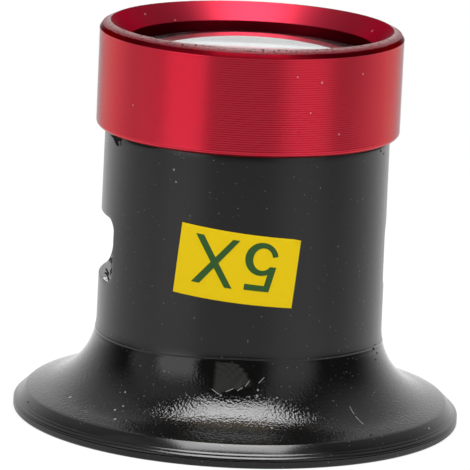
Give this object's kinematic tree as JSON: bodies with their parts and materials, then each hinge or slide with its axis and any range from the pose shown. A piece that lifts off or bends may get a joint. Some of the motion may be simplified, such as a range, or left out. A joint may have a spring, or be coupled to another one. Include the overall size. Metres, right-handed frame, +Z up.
{
  "type": "watchmaker loupe",
  "caption": "Eye loupe with a flared black eye cup, a vented tube and a screw-on red metal ring that holds a round glass lens.",
  "frame": {"origin": "on the tube's axis, in the plane of the rim that the loupe stands on", "axes": "+Z up along the tube's axis towards the lens, -Y towards the front where the label is, +X to the right"},
  "size_m": [0.042, 0.042, 0.0372],
  "materials": {
    "black_plastic": "black moulded plastic, satin on the tube and glossy on the flared cup",
    "red_anodised": "red anodised aluminium with fine turning marks",
    "lens_glass": "polished glass",
    "spring_wire": "drawn spring wire",
    "label_film": "yellow printed film with a green figure"
  },
  "bodies": {
    "cup_body": {"eye_cup": "black_plastic", "label": "label_film"},
    "lens_carrier": {"lens": "lens_glass"},
    "ring_body": {"lens_ring": "red_anodised", "snap_ring": "spring_wire"}
  },
  "joints": [
    {"name": "lens_lift", "type": "slide", "parent": "cup_body", "child": "lens_carrier", "axis": [0, 0, 1], "range_m": [0, 0.00333]},
    {"name": "ring_turn", "type": "hinge", "parent": "lens_carrier", "child": "ring_body", "pos_m": [0, 0, 0.03], "axis": [0, 0, 1], "range_deg": [0, 1200]}
  ],
  "couplings": [
    {"joint": "lens_lift", "follows": "ring_turn", "m_per_rad": 0.00015915}
  ]
}
